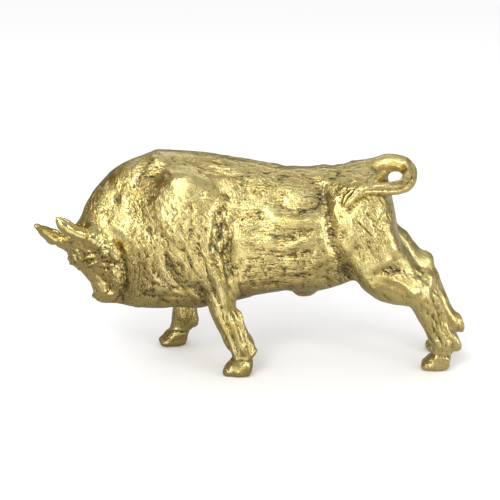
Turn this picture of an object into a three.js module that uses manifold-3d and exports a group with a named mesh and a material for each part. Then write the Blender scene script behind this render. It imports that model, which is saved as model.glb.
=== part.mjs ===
// A cast bull figurine with a lowered, turned head and a tail curled over its rump.
// Millimetres, +Z up. The bull looks along -X, its left side is towards -Y,
// and the origin is on the ground, under the middle of the figure's box.
import * as THREE from 'three';
import { SimplifyModifier } from 'three/addons/modifiers/SimplifyModifier.js';
import { mergeVertices } from 'three/addons/utils/BufferGeometryUtils.js';
import Module from 'manifold-3d';

// Driving dimensions
const LENGTH = 286;             // the horns' tips to the hind dewclaws come to 0.99 of it
const BODY_WIDTH = 70;          // across the shoulders
const FORE_STANCE = 53;         // between the middles of the fore hooves
const HIND_STANCE = 34;         // between the middles of the hind hooves
const HOOF_LENGTH = 19.5;
const HOOF_WIDTH = 15.5;
const HOOF_HEIGHT = 12.5;
const TOE_IN = 0.12;            // radians that each hoof turns towards the middle
const FORE_CANNON_RADIUS = 8.1;
const HIND_CANNON_RADIUS = 7.8;
const HORN_RADIUS = 4.6;        // in the middle of the near horn
const HORN_TIP_RADIUS = 1.7;
const EAR_LENGTH = 17;
const TAIL_RADIUS = 4.4;        // along the curl
const TAIL_TIP_RADIUS = 2.6;

// Quality of the faceted surface
const GRID_STEP = 1.7;
const FACETS = 9400;

const BRONZE = new THREE.MeshStandardMaterial({ color: 0xc9a544, roughness: 0.3, metalness: 1 });

// The pose is given in hundredths of the length
const share = (hundredths) => hundredths * LENGTH / 100;
const place = (x, y, z) => new THREE.Vector3(share(x), share(y), share(z));

// How softly the forms run into each other
const MUSCLE_BLEND = share(2.4);
const ROOT_BLEND = share(0.9);  // horns, ears, tail and hooves

// Distance fields: each returns a function of x, y, z that is negative inside the form.

const REACH = 12;               // beyond this distance from a form it is not worked out

function smoothUnion(a, b, blend) {
  const h = Math.max(blend - Math.abs(a - b), 0) / blend;
  return Math.min(a, b) - h * h * blend / 4;
}

// An ellipsoid whose half axes lie along the three directions of a frame
function mass(centre, [rx, ry, rz], frame = WORLD) {
  const [u, v, w] = frame;
  const bound = Math.max(rx, ry, rz) + REACH;
  return (x, y, z) => {
    const dx = x - centre.x;
    const dy = y - centre.y;
    const dz = z - centre.z;
    if (dx * dx + dy * dy + dz * dz > bound * bound) return Infinity;
    const a = (dx * u.x + dy * u.y + dz * u.z) / rx;
    const b = (dx * v.x + dy * v.y + dz * v.z) / ry;
    const c = (dx * w.x + dy * w.y + dz * w.z) / rz;
    const k = Math.hypot(a, b, c);
    if (k < 1e-6) return -Math.min(rx, ry, rz);
    return k * (k - 1) / Math.hypot(a / rx, b / ry, c / rz);
  };
}

// A round limb: spheres of changing radius swept along a smooth curve through the joints
function limb(joints, perSpan = 3) {
  const curve = new THREE.CatmullRomCurve3(joints.map(([point]) => point), false, 'centripetal');
  const spans = joints.length - 1;
  const steps = spans * perSpan;
  const points = [];
  for (let i = 0; i <= steps; i++) {
    const t = i / steps;
    const span = Math.min(Math.floor(t * spans), spans - 1);
    const r = THREE.MathUtils.lerp(joints[span][1], joints[span + 1][1], t * spans - span);
    points.push({ ...curve.getPoint(t), r });
  }
  const box = new THREE.Box3().setFromPoints(points.map((p) => new THREE.Vector3(p.x, p.y, p.z)));
  const margin = Math.max(...points.map((p) => p.r)) + REACH;
  return (x, y, z) => {
    if (x < box.min.x - margin || x > box.max.x + margin) return Infinity;
    if (y < box.min.y - margin || y > box.max.y + margin) return Infinity;
    if (z < box.min.z - margin || z > box.max.z + margin) return Infinity;
    let best = Infinity;
    for (let i = 0; i < points.length - 1; i++) {
      const p = points[i];
      const q = points[i + 1];
      const ex = q.x - p.x;
      const ey = q.y - p.y;
      const ez = q.z - p.z;
      const along = ((x - p.x) * ex + (y - p.y) * ey + (z - p.z) * ez) / (ex * ex + ey * ey + ez * ez);
      const t = Math.min(Math.max(along, 0), 1);
      const gap = Math.hypot(x - p.x - t * ex, y - p.y - t * ey, z - p.z - t * ez);
      best = Math.min(best, gap - p.r - t * (q.r - p.r));
    }
    return best;
  };
}

const WORLD = [new THREE.Vector3(1, 0, 0), new THREE.Vector3(0, 1, 0), new THREE.Vector3(0, 0, 1)];

// The trunk: at each place along the length an egg-shaped section, narrower towards the spine.
// Heights and places are hundredths of the length, half widths are shares of the body width,
// and lean is how far the neck bends towards the side that the head turns to.
const TRUNK = [
  { at: -38.5, spine: 33.8, belly: 28.5, half: 0.12, lean: -3.1 },
  { at: -36.4, spine: 38.9, belly: 26.0, half: 0.19, lean: -2.6 },
  { at: -33.6, spine: 43.0, belly: 21.5, half: 0.25, lean: -2.0 },
  { at: -29.4, spine: 46.6, belly: 14.6, half: 0.32, lean: -1.4 },
  { at: -24.8, spine: 48.6, belly: 13.4, half: 0.40, lean: -0.7 },
  { at: -19.9, spine: 49.8, belly: 13.2, half: 0.47, lean: -0.2 },
  { at: -11.5, spine: 49.3, belly: 13.5, half: 0.49, lean: 0 },
  { at: -3.1, spine: 48.1, belly: 15.1, half: 0.46, lean: 0 },
  { at: 2.1, spine: 47.2, belly: 16.5, half: 0.46, lean: 0 },
  { at: 8.0, spine: 46.1, belly: 17.5, half: 0.475, lean: 0 },
  { at: 14.7, spine: 46.0, belly: 17.5, half: 0.465, lean: 0 },
  { at: 21.3, spine: 46.8, belly: 19.0, half: 0.43, lean: 0 },
  { at: 25.5, spine: 47.3, belly: 22.0, half: 0.39, lean: 0 },
  { at: 29.4, spine: 46.0, belly: 28.0, half: 0.30, lean: 0 },
  { at: 31.8, spine: 41.5, belly: 33.0, half: 0.16, lean: 0 },
];
const TRUNK_SQUARENESS = 2.3;
const SPINE_NARROWING = 0.22;

// Smooth interpolation of one column of the trunk's stations at a place along the length
function alongTrunk(column, at) {
  const last = TRUNK.length - 1;
  let i = 0;
  while (i < last - 1 && TRUNK[i + 1].at < at) i += 1;
  const slope = (k) => {
    const a = TRUNK[Math.max(k - 1, 0)];
    const b = TRUNK[Math.min(k + 1, last)];
    return (b[column] - a[column]) / (b.at - a.at);
  };
  const step = TRUNK[i + 1].at - TRUNK[i].at;
  const t = THREE.MathUtils.clamp((at - TRUNK[i].at) / step, 0, 1);
  const from = TRUNK[i][column] * (1 + 2 * t) * (1 - t) ** 2 + slope(i) * step * t * (1 - t) ** 2;
  const to = TRUNK[i + 1][column] * (3 - 2 * t) * t ** 2 - slope(i + 1) * step * (1 - t) * t ** 2;
  return from + to;
}

function trunk() {
  const sections = new Map();
  const first = share(TRUNK[0].at);
  const last = share(TRUNK[TRUNK.length - 1].at);
  const section = (x) => {
    if (!sections.has(x)) {
      const at = x / share(1);
      const top = share(alongTrunk('spine', at));
      const bottom = share(alongTrunk('belly', at));
      sections.set(x, {
        middle: (top + bottom) / 2,
        tall: (top - bottom) / 2,
        wide: alongTrunk('half', at) * BODY_WIDTH,
        lean: share(alongTrunk('lean', at)),
      });
    }
    return sections.get(x);
  };
  return (x, y, z) => {
    const { middle, tall, wide, lean } = section(x);
    const v = (z - middle) / tall;
    const narrowed = wide * (1 - SPINE_NARROWING * THREE.MathUtils.smoothstep(v, 0, 1));
    const u = (y - lean) / narrowed;
    const n = TRUNK_SQUARENESS;
    const k = (Math.abs(u) ** n + Math.abs(v) ** n) ** (1 / n);
    const past = Math.max(first - x, x - last);
    return Math.max((k - 1) * Math.min(wide, tall), past);
  };
}

// The head hangs from the poll and is turned towards the left side.
// Its own directions: across to its left, out of the forehead, and down the face.
const POLL = place(-38.5, -3.8, 29.5);
const ACROSS = new THREE.Vector3(0.70, -0.65, 0.295).normalize();
const DOWN_FACE = new THREE.Vector3(0.412, 0.03, -0.911);
DOWN_FACE.addScaledVector(ACROSS, -DOWN_FACE.dot(ACROSS)).normalize();
const FOREHEAD = new THREE.Vector3().crossVectors(DOWN_FACE, ACROSS);
const HEAD = [ACROSS, FOREHEAD, DOWN_FACE];

function onHead(across, out, down) {
  return POLL.clone()
    .addScaledVector(ACROSS, share(across))
    .addScaledVector(FOREHEAD, share(out))
    .addScaledVector(DOWN_FACE, share(down));
}

function head() {
  const forms = [
    mass(onHead(0, -2.1, 3.0), [share(5.2), share(4.0), share(5.4)], HEAD),
    mass(onHead(0, -1.2, -0.2), [share(4.8), share(3.0), share(2.8)], HEAD),
    mass(onHead(0, -1.3, 13.4), [share(3.3), share(2.9), share(2.8)], HEAD),
    limb([[onHead(0, -1.4, 4.0), share(3.3)], [onHead(0, -1.2, 12.5), share(2.6)]]),
    limb([[onHead(0, -5.6, 6.0), share(3.9)], [onHead(0, -3.2, 12.5), share(2.3)]]),
  ];
  for (const side of [-1, 1]) {
    forms.push(mass(onHead(2.4 * side, -4.6, 6.6), [share(2.6), share(3.8), share(4.0)], HEAD));
    forms.push(mass(onHead(4.1 * side, -0.6, 4.0), [share(1.5), share(1.4), share(1.0)], HEAD));
  }
  return forms;
}

// A horn leaves the side of the poll, swells outwards and sweeps forwards and up.
// Each bend is given across the head, out of the forehead and down the face.
function horn(bends, slimness) {
  const radii = [HORN_RADIUS * 1.35, HORN_RADIUS * 1.12, HORN_RADIUS, HORN_RADIUS * 0.84, HORN_TIP_RADIUS];
  return limb(bends.map((bend, i) => [onHead(...bend), radii[i] * slimness]));
}

const NEAR_HORN = [
  [4.6, -1.2, 0.2], [6.3, 0.6, -1.2], [6.5, 3.6, -4.0], [6.4, 5.6, -6.6], [6.4, 6.7, -9.3],
];
const FAR_HORN = [
  [-4.6, -1.2, 0.4], [-5.9, 0.5, -1.8], [-5.8, 2.4, -4.6], [-4.9, 4.1, -6.6], [-3.9, 5.3, -8.0],
];

// A direction given across the head, out of the forehead and down the face
const headward = (across, out, down) => onHead(across, out, down).sub(POLL).normalize();

// An ear is a flattened leaf that points along the given direction from its root
function ear(root, along) {
  const flat = new THREE.Vector3().crossVectors(along, FOREHEAD).normalize();
  const thick = new THREE.Vector3().crossVectors(along, flat);
  const centre = root.clone().addScaledVector(along, EAR_LENGTH * 0.42);
  return mass(centre, [EAR_LENGTH * 0.56, EAR_LENGTH * 0.27, EAR_LENGTH * 0.18], [along, flat, thick]);
}

// A hoof has two claws side by side, with two dewclaws behind the ankle above it.
// The soles are cut flat at the ground afterwards.
const DEWCLAW = HOOF_WIDTH * 0.14;

function hoof({ side, toe, ankle }, middle, heel) {
  const turn = TOE_IN * side;
  const centre = new THREE.Vector3(toe + HOOF_LENGTH / 2, middle, 0);
  const forward = new THREE.Vector3(-Math.cos(turn), -Math.sin(turn), 0);
  const sideways = new THREE.Vector3(-Math.sin(turn), Math.cos(turn), 0);
  const half = HOOF_LENGTH / 2;
  const radius = HOOF_WIDTH * 0.27;
  const at = (ahead, out, up) => centre.clone()
    .addScaledVector(forward, ahead)
    .addScaledVector(sideways, out)
    .add(new THREE.Vector3(0, 0, up));
  const forms = [];
  for (const claw of [-1, 1]) {
    const out = claw * (HOOF_WIDTH / 2 - radius);
    forms.push(limb([
      [at(half - radius * 0.8, out * 0.88, radius * 0.5), radius * 0.8],
      [at(half * 0.2, out, radius * 0.75), radius * 1.03],
      [at(radius - half, out * 0.95, radius * 0.75), radius],
    ], 2));
    forms.push(limb([
      [at(half * 0.3, out * 0.9, HOOF_HEIGHT - radius), radius * 0.92],
      [at(-half * 0.5, out * 0.9, HOOF_HEIGHT - radius * 0.9), radius * 0.95],
    ], 1));
    const rear = new THREE.Vector3(heel, middle + claw * HOOF_WIDTH * 0.2, HOOF_HEIGHT * 1.25);
    forms.push(limb([
      [rear, DEWCLAW * 1.25],
      [rear.clone().add(new THREE.Vector3(-DEWCLAW * 1.5, 0, DEWCLAW * 3)), DEWCLAW * 1.5],
    ], 1));
  }
  const coronet = at(half * 0.3, 0, HOOF_HEIGHT * 0.5);
  const pastern = new THREE.Vector3(ankle, middle, HOOF_HEIGHT).lerp(coronet, 0.6);
  forms.push(limb([[coronet, HOOF_WIDTH * 0.34], [pastern, HOOF_WIDTH * 0.4]], 1));
  return forms;
}

// The four legs; knee, ankle and toe are places along the length, and drift is how far
// a hind foot stands behind the other one
const NEAR_FORE = { side: -1, knee: share(-5.7), ankle: share(-2.3), toe: share(-5.9) };
const FAR_FORE = { side: 1, knee: share(-15.0), ankle: share(-15.7), toe: share(-21.4) };
const hindPose = (side, drift) => ({ side, drift, ankle: share(43.7) + drift, toe: share(39.2) + drift });
const NEAR_HIND = hindPose(-1, 0);
const FAR_HIND = hindPose(1, share(2.4));

function foreleg({ side, knee, ankle, toe }) {
  const y = side * FORE_STANCE / 2;
  const coronet = THREE.MathUtils.lerp(ankle, toe + HOOF_LENGTH / 2, 0.55);
  return [
    mass(place(-15.0, 7.6 * side, 35.5), [share(8.6), share(4.4), share(11.5)]),
    limb([
      [place(-12.6, 6.4 * side, 36.0), share(5.2)],
      [new THREE.Vector3(share(-11.2), y * 0.92, share(28.0)), share(4.6)],
      [new THREE.Vector3(knee * 0.72 + share(-2.0), y, share(22.0)), share(3.7)],
      [new THREE.Vector3(knee, y, share(15.8)), FORE_CANNON_RADIUS * 1.16],
      [new THREE.Vector3((knee + ankle) / 2, y, share(10.9)), FORE_CANNON_RADIUS],
      [new THREE.Vector3(ankle, y, share(6.6)), FORE_CANNON_RADIUS * 1.02],
      [new THREE.Vector3(coronet, y, HOOF_HEIGHT * 0.85), HOOF_WIDTH * 0.4],
    ]),
  ];
}

function hindLeg({ side, drift, ankle, toe }) {
  const y = side * HIND_STANCE / 2;
  const hock = share(38.0) + drift / 2;
  const coronet = THREE.MathUtils.lerp(ankle, toe + HOOF_LENGTH / 2, 0.55);
  return [
    mass(place(24.2, 5.8 * side, 36.0), [share(7.4), share(5.2), share(9.6)]),
    limb([
      [place(25.2, 5.6 * side, 36.0), share(6.0)],
      [place(27.6, 6.4 * side, 29.2), share(6.3)],
      [new THREE.Vector3(share(29.6), y * 1.12, share(23.9)), share(6.1)],
      [new THREE.Vector3(share(33.6), y * 1.12, share(20.7)), share(4.9)],
      [new THREE.Vector3(hock, y * 1.1, share(18.8)), share(3.9)],
      [new THREE.Vector3(share(40.4) + drift * 0.7, y * 1.05, share(14.3)), HIND_CANNON_RADIUS * 1.16],
      [new THREE.Vector3(share(42.2) + drift * 0.9, y, share(10.2)), HIND_CANNON_RADIUS * 0.97],
      [new THREE.Vector3(ankle, y, share(6.3)), HIND_CANNON_RADIUS * 1.03],
      [new THREE.Vector3(coronet, y, HOOF_HEIGHT * 0.85), HOOF_WIDTH * 0.4],
    ]),
    limb([
      [new THREE.Vector3(hock - share(5.0), y * 1.1, share(26.4)), share(3.2)],
      [new THREE.Vector3(hock - share(1.4), y * 1.1, share(22.9)), share(2.2)],
      [new THREE.Vector3(hock + share(1.6), y * 1.1, share(22.5)), share(1.7)],
    ]),
  ];
}

// The tail rises from the rump, loops back and lies over the left side of the rump
function tail() {
  return limb([
    [place(23.5, 0, 43.4), share(3.4)],
    [place(28.0, 0, 45.7), share(2.5)],
    [place(31.6, -0.3, 47.2), TAIL_RADIUS * 1.36],
    [place(34.2, -1.2, 46.9), TAIL_RADIUS * 1.18],
    [place(35.6, -3.0, 45.1), TAIL_RADIUS * 1.04],
    [place(34.6, -5.2, 43.4), TAIL_RADIUS],
    [place(31.6, -7.6, 43.1), TAIL_RADIUS * 0.96],
    [place(27.8, -9.9, 43.9), TAIL_RADIUS * 0.86],
    [place(24.6, -11.3, 43.9), TAIL_RADIUS * 0.76],
    [place(22.1, -12.1, 42.4), TAIL_RADIUS * 0.68],
    [place(20.7, -12.3, 40.6), TAIL_TIP_RADIUS],
  ]);
}

// Creases and folds between the muscles, cut into one side or both. Each follows a curve
// through places along the length and above the ground, as they are seen from the side.
const BOTH = [-1, 1];
const NEAR = [-1];
const CREASES = [
  // behind the shoulder, in front of the thigh, behind the jaw
  { sides: BOTH, width: 1.6, depth: 0.9, path: [[-6.6, 38], [-4.6, 26], [-3.8, 16]] },
  { sides: BOTH, width: 1.6, depth: 0.7, path: [[15.5, 42], [18.0, 33], [20.8, 24]] },
  { sides: NEAR, width: 1.2, depth: 1.4, path: [[-29.0, 30], [-27.4, 22], [-28.6, 14]] },
  // down the upper arm, over the elbow, along the shoulder
  { sides: BOTH, width: 1.2, depth: 0.35, path: [[-14.5, 37], [-11.5, 29], [-8.4, 21]] },
  { sides: BOTH, width: 1.2, depth: 0.35, path: [[-19, 29], [-14.5, 22], [-10, 19.5]] },
  { sides: BOTH, width: 1.4, depth: 0.35, path: [[-20, 45], [-21.5, 38], [-20.5, 31]] },
  // across the thigh, above the gaskin
  { sides: BOTH, width: 1.3, depth: 0.35, path: [[26, 40], [27.5, 33], [32.5, 26]] },
  { sides: BOTH, width: 1.2, depth: 0.35, path: [[24, 31], [27.5, 25], [34, 21.5]] },
  // three folds along the flank
  { sides: NEAR, width: 1.2, depth: 0.2, path: [[3, 34.5], [9, 33.2], [16, 34.6]] },
  { sides: NEAR, width: 1.3, depth: 0.3, path: [[0, 30.8], [8, 28.6], [15, 29.4]] },
  { sides: NEAR, width: 1.2, depth: 0.22, path: [[4, 25.2], [10, 23.6], [17, 26]] },
];

// How deep a crease lowers the surface: a smooth valley along its curve, on its sides only
function crease({ sides, width, depth, path }) {
  const line = limb(path.map(([x, z]) => [place(x, 0, z), 0]), 4);
  return (x, y, z) => {
    const gap = line(x, 0, z) / share(width);
    if (gap > 3) return 0;
    const onSide = sides.some((side) => side * y > 0);
    if (!onSide) return 0;
    const inward = THREE.MathUtils.smoothstep(Math.abs(y), share(3), share(7));
    return share(depth) * inward * Math.exp(-gap * gap);
  };
}

function bullField() {
  const body = trunk();
  const wide = [
    mass(place(12.6, 0, 17.2), [share(2.6), share(1.8), share(1.8)]),
    ...[NEAR_FORE, FAR_FORE].flatMap(foreleg),
    ...[NEAR_HIND, FAR_HIND].flatMap(hindLeg),
    ...head(),
  ];
  const fine = [
    ...[NEAR_FORE, FAR_FORE].flatMap((leg) => (
      hoof(leg, leg.side * FORE_STANCE / 2, leg.ankle + FORE_CANNON_RADIUS))),
    ...[NEAR_HIND, FAR_HIND].flatMap((leg) => (
      hoof(leg, leg.side * HIND_STANCE / 2, leg.ankle + HIND_CANNON_RADIUS * 1.28))),
    horn(NEAR_HORN, 1),
    horn(FAR_HORN, 0.92),
    ear(onHead(7.0, 0.3, 1.2), headward(4.0, -0.9, 4.5)),
    ear(onHead(-5.6, -2.2, 1.6), headward(-0.25, -0.9, 0.25)),
    tail(),
  ];
  const grooves = CREASES.map(crease);
  return (x, y, z) => {
    let d = body(x, y, z);
    for (const form of wide) d = smoothUnion(d, form(x, y, z), MUSCLE_BLEND);
    if (Math.abs(d) < REACH) {
      for (const groove of grooves) d += groove(x, y, z);
    }
    for (const form of fine) d = smoothUnion(d, form(x, y, z), ROOT_BLEND);
    return d;
  };
}

// The surface where a field is zero, by cutting every cell of a grid into six tetrahedra.
// Neighbouring cells share their cuts, so the mesh is closed by construction.
const CORNERS = [[1, 3], [1, 5], [2, 3], [2, 6], [4, 5], [4, 6]];

function surfaceOf(field, box, step) {
  const counts = box.getSize(new THREE.Vector3()).divideScalar(step).ceil();
  const nx = counts.x + 1;
  const ny = counts.y + 1;
  const nz = counts.z + 1;
  const strides = [1, nx, nx * ny];
  const values = new Float32Array(nx * ny * nz);
  for (let k = 0, n = 0; k < nz; k++) {
    for (let j = 0; j < ny; j++) {
      for (let i = 0; i < nx; i++, n++) {
        values[n] = field(box.min.x + i * step, box.min.y + j * step, box.min.z + k * step);
      }
    }
  }
  const offset = (corner) => (
    (corner & 1) * strides[0] + ((corner >> 1) & 1) * strides[1] + (corner >> 2) * strides[2]);
  const gridPoint = (node) => [
    box.min.x + (node % nx) * step,
    box.min.y + (Math.floor(node / nx) % ny) * step,
    box.min.z + Math.floor(node / strides[2]) * step,
  ];
  const positions = [];
  const index = [];
  const cuts = new Map();
  const cut = (a, b) => {
    const key = Math.min(a, b) * values.length + Math.max(a, b);
    if (!cuts.has(key)) {
      const t = THREE.MathUtils.clamp(values[a] / (values[a] - values[b]), 0.04, 0.96);
      const p = gridPoint(a);
      const q = gridPoint(b);
      cuts.set(key, positions.length / 3);
      positions.push(p[0] + t * (q[0] - p[0]), p[1] + t * (q[1] - p[1]), p[2] + t * (q[2] - p[2]));
    }
    return cuts.get(key);
  };
  const at = (v) => new THREE.Vector3(positions[3 * v], positions[3 * v + 1], positions[3 * v + 2]);
  const face = (a, b, c, inner, outer) => {
    const normal = at(b).sub(at(a)).cross(at(c).sub(at(a)));
    const p = gridPoint(inner);
    const q = gridPoint(outer);
    const facing = normal.x * (q[0] - p[0]) + normal.y * (q[1] - p[1]) + normal.z * (q[2] - p[2]);
    index.push(...(facing > 0 ? [a, b, c] : [a, c, b]));
  };
  for (let k = 0; k < nz - 1; k++) {
    for (let j = 0; j < ny - 1; j++) {
      for (let i = 0; i < nx - 1; i++) {
        const node = i + j * strides[1] + k * strides[2];
        let solid = 0;
        for (let corner = 0; corner < 8; corner++) {
          if (values[node + offset(corner)] < 0) solid += 1;
        }
        if (solid === 0 || solid === 8) continue;
        for (const [second, third] of CORNERS) {
          const tetra = [node, node + offset(second), node + offset(third), node + offset(7)];
          const inside = tetra.filter((n) => values[n] < 0);
          const outside = tetra.filter((n) => values[n] >= 0);
          if (inside.length === 0 || outside.length === 0) continue;
          const [p, q, r] = inside;
          const [s, t, u] = outside;
          if (inside.length === 1) face(cut(p, s), cut(p, t), cut(p, u), p, s);
          if (outside.length === 1) face(cut(p, s), cut(q, s), cut(r, s), p, s);
          if (inside.length === 2) {
            face(cut(p, s), cut(p, t), cut(q, t), p, t);
            face(cut(p, s), cut(q, t), cut(q, s), q, s);
          }
        }
      }
    }
  }
  const geometry = new THREE.BufferGeometry();
  geometry.setAttribute('position', new THREE.Float32BufferAttribute(positions, 3));
  geometry.setIndex(index);
  return geometry;
}

const wasm = await Module();
wasm.setup();

function solidOf(geometry) {
  const bare = geometry.clone();
  bare.deleteAttribute('normal');
  bare.deleteAttribute('uv');
  const merged = mergeVertices(bare, 1e-4);
  return new wasm.Manifold(new wasm.Mesh({
    numProp: 3,
    vertProperties: Float32Array.from(merged.attributes.position.array),
    triVerts: Uint32Array.from(merged.index.array),
  }));
}

function geometryOf(solid) {
  const mesh = solid.getMesh();
  const geometry = new THREE.BufferGeometry();
  geometry.setAttribute('position', new THREE.BufferAttribute(mesh.vertProperties, 3));
  geometry.setIndex(new THREE.BufferAttribute(mesh.triVerts, 1));
  geometry.computeVertexNormals();
  return geometry;
}

async function bull() {
  const widest = Math.max(BODY_WIDTH, FORE_STANCE + HOOF_WIDTH, HIND_STANCE + HOOF_WIDTH) * 0.8;
  const room = new THREE.Box3(place(-54, 0, -4), place(54, 0, 54));
  room.expandByVector(new THREE.Vector3(0, widest, 0));
  const fine = surfaceOf(bullField(), room, GRID_STEP);
  fine.computeVertexNormals();
  const spare = fine.attributes.position.count - FACETS / 2;
  const reduced = await new SimplifyModifier().modify(fine, spare);
  const ground = new THREE.BoxGeometry(share(140), 4 * widest, share(20));
  ground.translate(0, 0, -share(10));
  // Where two forms meet, the grid can leave a speck of a pocket: only the outer shell is kept
  const shells = solidOf(reduced).subtract(solidOf(ground)).decompose();
  shells.sort((a, b) => b.volume() - a.volume());
  const geometry = geometryOf(shells[0]);
  geometry.computeBoundingBox();
  const middle = geometry.boundingBox.getCenter(new THREE.Vector3());
  return geometry.translate(-middle.x, -middle.y, 0);
}

const figure = new THREE.Group();
const casting = new THREE.Mesh(await bull(), BRONZE);
casting.name = 'bull';
figure.add(casting);

export default figure;
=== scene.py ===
"""A polished bronze bull with a lowered, turned head, on a pale studio floor.

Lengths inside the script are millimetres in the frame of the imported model, and become
metres where a mesh is written. The bull looks along -X and its left side is towards -Y.
"""
import math

import bmesh
import bpy
import numpy as np
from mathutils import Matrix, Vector


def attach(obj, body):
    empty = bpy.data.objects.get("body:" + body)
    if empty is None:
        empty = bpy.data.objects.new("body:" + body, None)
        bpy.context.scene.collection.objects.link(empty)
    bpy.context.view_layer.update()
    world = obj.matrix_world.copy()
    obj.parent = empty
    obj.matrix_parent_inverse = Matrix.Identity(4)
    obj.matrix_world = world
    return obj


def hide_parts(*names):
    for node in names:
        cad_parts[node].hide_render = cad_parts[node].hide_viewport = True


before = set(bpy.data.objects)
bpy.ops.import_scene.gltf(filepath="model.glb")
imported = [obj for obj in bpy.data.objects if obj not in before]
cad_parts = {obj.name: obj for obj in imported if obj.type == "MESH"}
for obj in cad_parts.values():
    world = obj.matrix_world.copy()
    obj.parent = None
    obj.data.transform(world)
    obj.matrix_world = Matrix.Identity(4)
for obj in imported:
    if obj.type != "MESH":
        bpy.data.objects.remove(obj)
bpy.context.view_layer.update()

MM = 0.001

# Places on the bull are given in hundredths of its length, before it was centred, and these are
# the millimetres in a hundredth and the place that became the middle
SHARE = 2.86
CENTRED = np.array([3.246, -1.003, 0.0])


def place(x, y, z):
    """A place in mm from hundredths of the length."""
    return SHARE * np.array([x, y, z], float) - CENTRED


# The photograph's view: where the camera looks, from how far, and how large it sees things
AIM = np.array([0.0, 0.0, 75.8]) - CENTRED
ELEVATION = math.radians(18)
CAMERA_DISTANCE = 1000.0
MM_PER_PIXEL = 0.65
FRAME_PIXELS = 500
FOCAL = CAMERA_DISTANCE / MM_PER_PIXEL
SENSOR = 36.0

# The cast surface: size of its grid, rounds that smooth it before and after it is made finer,
# and how far relief may sink or rise
GRAIN = 1.5
WELD = 0.01
COARSE_ROUNDS = 12
FINE_ROUNDS = 4
SINK_LIMIT = 2.6
LIFT_LIMIT = 1.8

# How deep the drawn carving is, over the heights that each stroke gives
MUSCLE_DEPTH = 1.4
CHISEL_DEPTH = 1.4
FACE_DEPTH = 1.35


def unit(v):
    """A vector, or rows of vectors, divided by their length."""
    return v / np.linalg.norm(v, axis=-1, keepdims=True)


# The poll and the head's own directions: across to its left, down the face, out of the forehead
POLL = place(-38.5, -3.8, 29.5)
ACROSS = unit(np.array([0.70, -0.65, 0.295]))
DOWN_FACE = np.array([0.412, 0.03, -0.911])
DOWN_FACE = unit(DOWN_FACE - ACROSS * (DOWN_FACE @ ACROSS))
FOREHEAD = np.cross(DOWN_FACE, ACROSS)

# The picture's directions: out of it to the camera, and up
TO_CAMERA = np.array([0.0, -math.cos(ELEVATION), math.sin(ELEVATION)])
CAMERA_UP = np.array([0.0, math.sin(ELEVATION), math.cos(ELEVATION)])


def smooth(value, low, high):
    """0 below low, 1 above high, and a smooth rise 3t^2 - 2t^3 between them."""
    t = np.clip((value - low) / (high - low), 0, 1)
    return t * t * (3 - 2 * t)


def bell(value, middle, width):
    """A bump exp(-((value - middle) / width)^2)."""
    return np.exp(-((value - middle) / width) ** 2)


def swell(value, middle, width, rise):
    """A swelling or a cut: its rise times a bell round its middle."""
    return rise * bell(value, middle, width)


def in_photo(points):
    """Pixel places of points: focal length times the offset across or down, over the depth."""
    offset = points - AIM
    depth = CAMERA_DISTANCE - offset @ TO_CAMERA
    across = FRAME_PIXELS / 2 + FOCAL * offset[:, 0] / depth
    down = FRAME_PIXELS / 2 - FOCAL * (offset @ CAMERA_UP) / depth
    return np.stack([across, down], axis=1)


def on_head(across, out, down):
    """A place on the head, in hundredths of the bull's length along the head's directions."""
    return POLL + SHARE * (across * ACROSS + out * FOREHEAD + down * DOWN_FACE)


# Large odd numbers that shuffle a lattice cell into a random value
SHUFFLE = np.array([374761393, 668265263, 2147483647])
SEED_SHUFFLE = 974711
LAST_SHUFFLE = 1274126177
HIGHEST = 0xFFFF


def scattered(cell, seed):
    """A random value from -1 to 1 for each cell of a lattice, always the same for a cell: the
    cell's numbers times large odd ones, folded over themselves, and the lowest 16 bits of that."""
    mix = cell @ SHUFFLE + seed * SEED_SHUFFLE
    mix = (mix ^ (mix >> 13)) * LAST_SHUFFLE
    mix = (mix ^ (mix >> 16)) & HIGHEST
    return mix / (HIGHEST / 2) - 1


def noise(points, size, seed):
    """Smooth noise from -1 to 1: random values on a lattice of the given size, blended
    between the eight corners of each cell with the weight 3t^2 - 2t^3."""
    where = points / size
    cell = np.floor(where).astype(np.int64)
    t = where - cell
    t = t * t * (3 - 2 * t)
    total = np.zeros(len(points))
    for corner in np.ndindex(2, 2, 2):
        weight = np.prod(np.where(corner, t, 1 - t), axis=1)
        total += weight * scattered(cell + corner, seed)
    return total


# How sharply one dab gives way to the next
DAB_EDGE = 9


def dabs(points, size, seed):
    """Flat dabs of clay: round the random middle of each cell the surface is a plane of random
    tilt, and neighbouring planes are mixed by the weight exp(-9 gap^2), gap in cells."""
    where = points / size
    cell = np.floor(where).astype(np.int64)
    total = np.zeros(len(points))
    weights = np.zeros(len(points))
    for corner in np.ndindex(3, 3, 3):
        at = cell + corner - 1
        middle = at + 0.5 + 0.5 * np.stack([scattered(at, seed + k) for k in (1, 2, 3)], axis=1)
        tilt = np.stack([scattered(at, seed + k) for k in (4, 5, 6)], axis=1)
        offset = where - middle
        weight = np.exp(-DAB_EDGE * (offset ** 2).sum(1))
        total += weight * (offset * tilt).sum(1)
        weights += weight
    return total / (weights + 1e-9)


def relaxed(values, edges, rounds, pull=0.5):
    """Each value moves towards the mean of its neighbours by the given pull, so many times."""
    start, end = edges[:, 0], edges[:, 1]
    count = len(values)
    degree = np.bincount(start, minlength=count) + np.bincount(end, minlength=count)
    columns = values.reshape(count, -1).T.copy()
    for _ in range(rounds):
        for k, column in enumerate(columns):
            total = np.bincount(start, column[end], count) + np.bincount(end, column[start], count)
            columns[k] = column + pull * (total / degree - column)
    return columns.T.reshape(values.shape)


# Shares of the way to the neighbours' mean
PULL_IN = 0.5
PUSH_OUT = -0.52


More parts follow.
